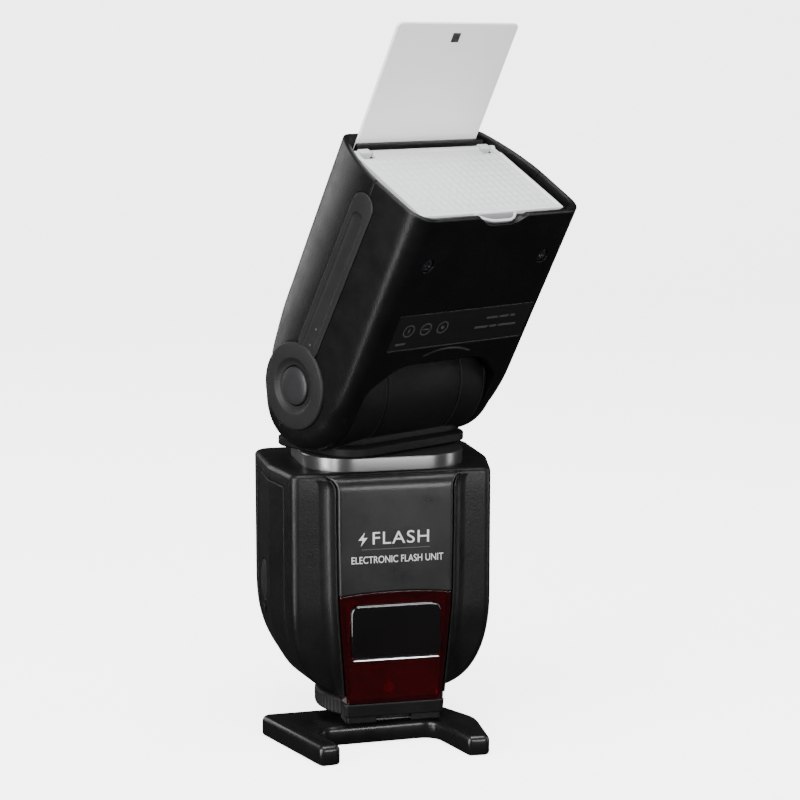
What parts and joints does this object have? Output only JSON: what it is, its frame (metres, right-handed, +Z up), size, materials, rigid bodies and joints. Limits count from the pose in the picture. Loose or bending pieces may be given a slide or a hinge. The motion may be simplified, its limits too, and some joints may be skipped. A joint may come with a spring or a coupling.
{
  "type": "speedlight flash",
  "caption": "Battery flash with tilting and swivelling head, drawn-out bounce card, folded wide panel, red sensor window and hot-shoe foot, standing in its table stand.",
  "frame": {"origin": "mouth of the stand's tripod thread, in the plane of the stand's sole", "axes": "+Z up, -Y the way the housing's front with the red window faces, +X to the right seen from the front; the head rests swivelled 30 degrees about +Z and tipped 30 degrees forward"},
  "size_m": [0.1022, 0.1032, 0.239],
  "materials": {
    "case_black": "fine spark texture",
    "strip_charcoal": "satin",
    "trim_grey": "soft satin",
    "window_red": "deep translucent red",
    "lens_black": "mirror gloss",
    "clear_plastic": "clear moulded",
    "card_white": "translucent white",
    "screen_tint": "smoked",
    "screen_grey": "liquid crystal grey-green",
    "key_grey": "satin",
    "steel": "brushed",
    "shaft_steel": "ground",
    "brass": "machined",
    "contact_gold": "plated",
    "alu_bright": "polished",
    "board_green": "solder mask",
    "cell_wrap": "shrink wrap",
    "capacitor_black": "sleeve",
    "label_black": "printed",
    "stand_black": "satin",
    "cover_rubber": "soft",
    "tube_glass": "xenon tube"
  },
  "bodies": {
    "housing": {"front_shell": "case_black", "rear_shell": "case_black", "front_strip": "strip_charcoal", "red_window": "window_red", "sensor_lens": "lens_black", "chin_trim": "strip_charcoal", "lcd_window": "screen_tint", "lcd_screen": "screen_grey", "keypad_board": "board_green", "battery_cells": "cell_wrap", "battery_bay": "case_black", "contact_strips": "contact_gold", "contact_springs": "steel", "main_board": "board_green", "main_capacitor": "capacitor_black", "sync_socket": "contact_gold", "power_socket": "case_black", "foot_block": "case_black", "shoe_plate": "steel", "shoe_contacts": "contact_gold", "collar_ring": "case_black"},
    "light_key": {"light_key": "key_grey"},
    "mode_key": {"mode_key": "key_grey"},
    "zoom_key": {"zoom_key": "key_grey"},
    "pilot_key": {"pilot_key": "key_grey"},
    "power_key": {"power_key": "key_grey"},
    "ok_key": {"ok_key": "key_grey"},
    "pad_gimbal": {"pad_gimbal": "case_black"},
    "arrow_pad": {"arrow_pad": "key_grey"},
    "door_rod": {"door_rod": "shaft_steel"},
    "battery_door": {"battery_door": "case_black"},
    "socket_cover": {"socket_cover": "cover_rubber"},
    "lock_ring": {"lock_ring": "trim_grey"},
    "lock_pin": {"lock_pin": "steel"},
    "table_stand": {"table_stand": "stand_black", "thread_insert": "brass"},
    "yoke": {"swivel_yoke": "case_black", "swivel_clip": "steel"},
    "head": {"head_front_case": "case_black", "head_back_case": "case_black", "rating_label": "label_black", "head_screws": "steel", "tilt_shaft": "shaft_steel", "side_trim_left": "trim_grey", "side_trim_right": "trim_grey", "release_spring": "steel", "lens_bezel": "case_black", "flash_lens": "clear_plastic", "panel_pin": "shaft_steel", "panel_lugs": "clear_plastic", "lead_screw": "shaft_steel", "guide_rod": "shaft_steel", "zoom_motor": "steel"},
    "release_button": {"release_button": "trim_grey"},
    "bounce_card": {"bounce_card": "card_white"},
    "wide_panel": {"wide_panel": "clear_plastic"},
    "zoom_carriage": {"zoom_carriage": "case_black", "reflector": "alu_bright", "flash_tube": "tube_glass", "tube_caps": "cover_rubber"}
  },
  "joints": [
    {"name": "light_key_press", "type": "slide", "parent": "housing", "child": "light_key", "axis": [0, -1, 0], "range_m": [0, 0.0009], "stiffness_N_per_m": 300},
    {"name": "mode_key_press", "type": "slide", "parent": "housing", "child": "mode_key", "axis": [0, -1, 0], "range_m": [0, 0.0009], "stiffness_N_per_m": 300},
    {"name": "zoom_key_press", "type": "slide", "parent": "housing", "child": "zoom_key", "axis": [0, -1, 0], "range_m": [0, 0.0009], "stiffness_N_per_m": 300},
    {"name": "pilot_key_press", "type": "slide", "parent": "housing", "child": "pilot_key", "axis": [0, -1, 0], "range_m": [0, 0.0009], "stiffness_N_per_m": 300},
    {"name": "power_key_press", "type": "slide", "parent": "housing", "child": "power_key", "axis": [0, -1, 0], "range_m": [0, 0.0009], "stiffness_N_per_m": 300},
    {"name": "ok_key_press", "type": "slide", "parent": "housing", "child": "ok_key", "axis": [0, -1, 0], "range_m": [0, 0.0009], "stiffness_N_per_m": 300},
    {"name": "pad_rock_updown", "type": "hinge", "parent": "housing", "child": "pad_gimbal", "pos_m": [0, 0.0262, 0.038], "axis": [1, 0, 0], "range_deg": [-2, 2], "stiffness_Nm_per_rad": 0.05},
    {"name": "pad_rock_sideways", "type": "hinge", "parent": "pad_gimbal", "child": "arrow_pad", "pos_m": [0, 0.0262, 0.038], "axis": [0, 0, 1], "range_deg": [-2, 2], "stiffness_Nm_per_rad": 0.05},
    {"name": "door_slide", "type": "slide", "parent": "housing", "child": "door_rod", "axis": [0, 0, 1], "range_m": [-0.0036, 0]},
    {"name": "door_swing", "type": "hinge", "parent": "door_rod", "child": "battery_door", "pos_m": [-0.0365, 0.0174, 0.07], "axis": [0, 0, 1], "range_deg": [-90, 0]},
    {"name": "socket_cover_swing", "type": "hinge", "parent": "housing", "child": "socket_cover", "pos_m": [0.038, 0.012, 0.053], "axis": [0, 0, 1], "range_deg": [0, 90]},
    {"name": "ring_turn", "type": "hinge", "parent": "housing", "child": "lock_ring", "pos_m": [0, -0.004, 0.0118], "axis": [0, 0, -1], "range_deg": [0, 60]},
    {"name": "pin_drop", "type": "slide", "parent": "housing", "child": "lock_pin", "axis": [0, 0, -1], "range_m": [0, 0.0013]},
    {"name": "stand_slide", "type": "slide", "parent": "housing", "child": "table_stand", "axis": [0, -1, 0], "range_m": [0, 0.03]},
    {"name": "swivel_turn", "type": "hinge", "parent": "housing", "child": "yoke", "pos_m": [0, 0, 0.09], "axis": [0, 0, 1], "range_deg": [-210, 60]},
    {"name": "head_tilt", "type": "hinge", "parent": "yoke", "child": "head", "pos_m": [0.00084, -0.00148, 0.122], "axis": [0.8704, 0.4924, 0], "range_deg": [-30, 60]},
    {"name": "release_press", "type": "slide", "parent": "head", "child": "release_button", "axis": [0.8704, 0.4924, 0], "range_m": [0, 0.0015], "stiffness_N_per_m": 500},
    {"name": "card_slide", "type": "slide", "parent": "head", "child": "bounce_card", "axis": [0.2304, -0.4073, 0.8838], "range_m": [-0.041, 0]},
    {"name": "wide_panel_swing", "type": "hinge", "parent": "head", "child": "wide_panel", "pos_m": [0.01195, -0.02112, 0.19788], "axis": [0.8704, 0.4924, 0], "range_deg": [-90, 0]},
    {"name": "zoom_travel", "type": "slide", "parent": "head", "child": "zoom_carriage", "axis": [0.2462, -0.4352, 0.866], "range_m": [-0.012, 0.0015]}
  ],
  "couplings": [
    {"joint": "pin_drop", "follows": "ring_turn", "m_per_rad": 0.0012414}
  ]
}
